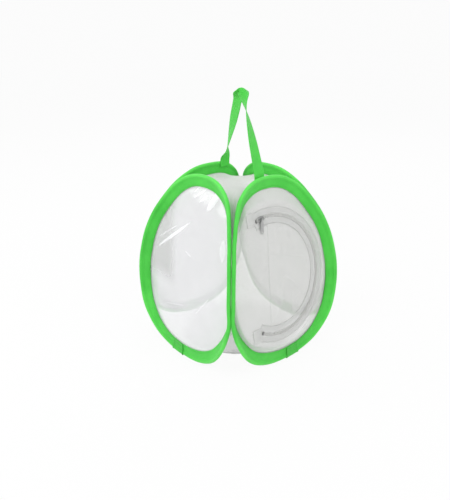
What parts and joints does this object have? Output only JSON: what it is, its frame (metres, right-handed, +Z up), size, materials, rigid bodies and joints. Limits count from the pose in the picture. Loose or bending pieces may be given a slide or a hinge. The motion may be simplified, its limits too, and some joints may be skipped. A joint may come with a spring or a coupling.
{
  "type": "insect cage",
  "caption": "Pop-up fabric insect cage with sprung hoop sides, a clear window, net walls, a zipped net door and a carrying strap.",
  "frame": {"origin": "on the ground under the middle of the cage, in the plane of its feet", "axes": "+Z up; +X out through the zipped door panel; -Y out through the clear window"},
  "size_m": [0.2592, 0.2556, 0.4191],
  "materials": {
    "green_cloth": "woven matt green binding tape",
    "white_net": "fine white net, see-through",
    "white_cloth": "thin white cloth",
    "clear_film": "clear glossy film",
    "zip_tape": "white woven zip tape",
    "zip_teeth": "white nylon",
    "steel": "plain steel wire and sheet"
  },
  "bodies": {
    "cage": {"window_binding": "green_cloth", "door_binding": "green_cloth", "back_binding": "green_cloth", "left_binding": "green_cloth", "window_binding_lap": "green_cloth", "door_binding_lap": "green_cloth", "back_binding_lap": "green_cloth", "left_binding_lap": "green_cloth", "window_hoop_wire": "steel", "door_hoop_wire": "steel", "back_hoop_wire": "steel", "left_hoop_wire": "steel", "window_wire_ferrule": "steel", "door_wire_ferrule": "steel", "back_wire_ferrule": "steel", "left_wire_ferrule": "steel", "window_film": "clear_film", "back_net": "white_net", "left_net": "white_net", "door_panel_net": "white_net", "top_net": "white_net", "floor_cloth": "white_cloth", "zip_frame_tape": "zip_tape", "zip_frame_teeth": "zip_teeth", "zip_top_tape": "zip_tape", "zip_top_teeth": "zip_teeth", "zip_foot_tape": "zip_tape", "zip_foot_teeth": "zip_teeth", "zip_top_stop": "steel", "zip_foot_stop": "steel", "zip_top_patch": "zip_tape", "zip_foot_patch": "zip_tape", "strap_tab_front": "green_cloth", "strap_tab_back": "green_cloth"},
    "door": {"door_net": "white_net", "zip_door_tape": "zip_tape", "zip_door_teeth": "zip_teeth"},
    "slider": {"zip_slider": "steel"},
    "pull": {"zip_pull": "steel"},
    "handle": {"carry_strap": "green_cloth"}
  },
  "joints": [
    {"name": "slider_run", "type": "hinge", "parent": "cage", "child": "slider", "pos_m": [0.10591, -0.0135, 0.15069], "axis": [0.9762, 0, 0.2169], "range_deg": [-213.9, 0]},
    {"name": "pull_swing", "type": "hinge", "parent": "slider", "child": "pull", "pos_m": [0.09154, -0.03137, 0.24256], "axis": [0.041, -0.982, -0.1846], "range_deg": [0, 180]},
    {"name": "door_turn", "type": "hinge", "parent": "cage", "child": "door", "pos_m": [0.12473, -0.03881, 0.06736], "axis": [0.2152, -0.1262, -0.9684], "range_deg": [0, 90]},
    {"name": "strap_swing", "type": "hinge", "parent": "cage", "child": "handle", "pos_m": [0.0635, -0.012, 0.30442], "axis": [-0.9538, 0.3004, 0], "range_deg": [-75, 75]}
  ]
}
